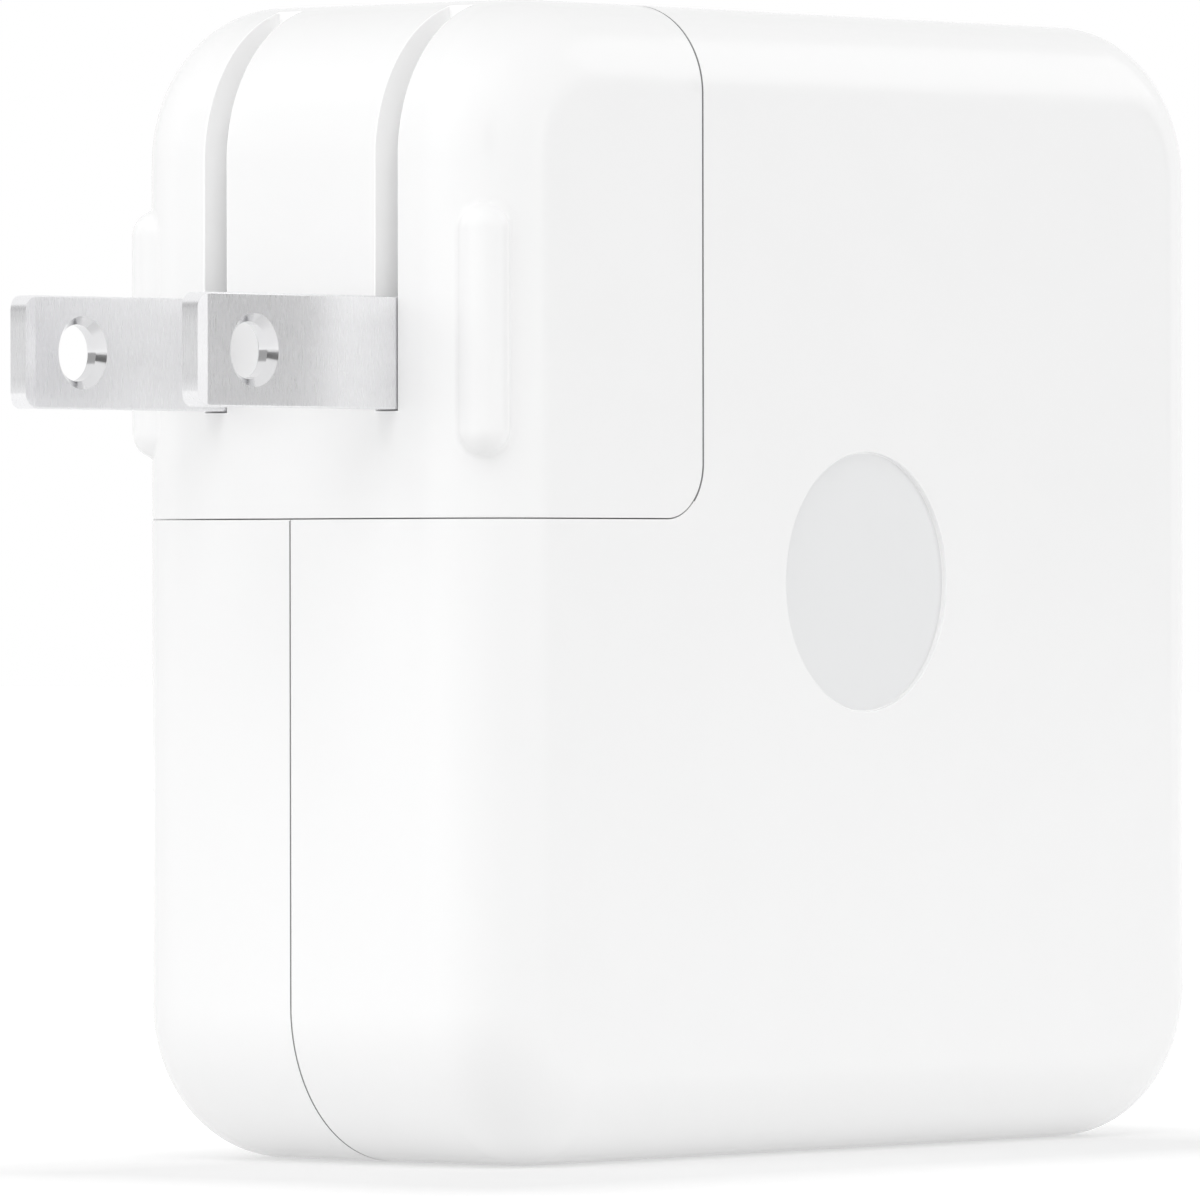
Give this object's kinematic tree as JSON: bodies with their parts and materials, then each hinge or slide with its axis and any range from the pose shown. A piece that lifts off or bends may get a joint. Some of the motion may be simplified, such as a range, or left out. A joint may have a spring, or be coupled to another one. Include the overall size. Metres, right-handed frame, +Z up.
{
  "type": "laptop power adapter",
  "caption": "Soft-cornered mains adapter block with a slide-off wall plug, folding flat blades and a small output port for a laptop.",
  "frame": {"origin": "centre of the narrow base face, in the middle of the thickness, under the middle of the case", "axes": "+X away from the blades towards the output port, +Y across the thickness away from the recessed broad side, +Z up"},
  "size_m": [0.0848, 0.028, 0.066],
  "materials": {
    "white_shell": "moulded, satin gloss",
    "white_cover": "moulded, fine matt",
    "blade_nickel": "nickel plated, satin",
    "hub_plastic": "moulded",
    "spring_steel": "rolled",
    "contact_brass": "stamped",
    "inlet_plastic": "moulded",
    "pin_brass": "plated",
    "stud_steel": "turned",
    "board_laminate": "solder mask",
    "fuse_case": "moulded",
    "varistor_coat": "dipped epoxy",
    "film_capacitor_case": "moulded",
    "choke_coating": "coated",
    "enamelled_copper": "enamelled",
    "chip_epoxy": "moulded epoxy",
    "capacitor_sleeve": "shrunk sleeve",
    "bung_rubber": "moulded",
    "tinned_wire": "tinned",
    "ferrite": "ground",
    "bobbin_plastic": "moulded",
    "winding_tape": "polyester tape",
    "heatsink_aluminium": "sheared plate",
    "opto_case": "moulded",
    "safety_coat": "dipped epoxy",
    "capacitor_can": "drawn can",
    "barrier_board": "sheet",
    "port_steel": "drawn, nickel plated",
    "contact_gold": "gold flash",
    "pad_silicone": "soft silicone",
    "spreader_copper": "rolled copper",
    "sheet_film": "polyester film"
  },
  "bodies": {
    "adapter": {"case_near": "white_shell", "case_far": "white_shell", "inlet_block": "inlet_plastic", "inlet_pin_near": "pin_brass", "inlet_pin_far": "pin_brass", "retention_stud": "stud_steel", "stud_nut": "stud_steel", "main_board": "board_laminate", "fuse": "fuse_case", "varistor": "varistor_coat", "suppression_capacitor": "film_capacitor_case", "choke_core": "choke_coating", "choke_windings": "enamelled_copper", "bridge_rectifier": "chip_epoxy", "main_capacitor": "capacitor_sleeve", "capacitor_bung": "bung_rubber", "capacitor_wires": "tinned_wire", "transformer_core": "ferrite", "transformer_bobbin": "bobbin_plastic", "transformer_winding": "winding_tape", "power_transistor": "chip_epoxy", "primary_heatsink": "heatsink_aluminium", "switching_controller": "chip_epoxy", "optocoupler": "opto_case", "safety_capacitor": "safety_coat", "rectifier_transistor": "chip_epoxy", "secondary_heatsink": "heatsink_aluminium", "output_capacitors": "capacitor_can", "isolation_barrier": "barrier_board", "port_board": "board_laminate", "board_header": "inlet_plastic", "port_shell": "port_steel", "port_insert": "inlet_plastic", "port_contacts": "contact_gold", "power_delivery_chip": "chip_epoxy", "thermal_pad": "pad_silicone", "heat_spreader_near": "spreader_copper", "heat_spreader_far": "spreader_copper", "insulating_sheet_near": "sheet_film", "insulating_sheet_far": "sheet_film"},
    "wall_plug": {"plug_shell": "white_shell", "plug_cover": "white_cover", "hub_retainer": "white_cover", "detent_spring": "spring_steel", "plug_contact_near": "contact_brass", "plug_contact_far": "contact_brass"},
    "blades": {"blade_near": "blade_nickel", "blade_far": "blade_nickel", "blade_hub": "hub_plastic"}
  },
  "joints": [
    {"name": "plug_slide", "type": "slide", "parent": "adapter", "child": "wall_plug", "axis": [0, 0, 1], "range_m": [0, 0.018]},
    {"name": "blade_fold", "type": "hinge", "parent": "wall_plug", "child": "blades", "pos_m": [-0.0308, 0, 0.0459], "axis": [0, 1, 0], "range_deg": [0, 90]}
  ]
}
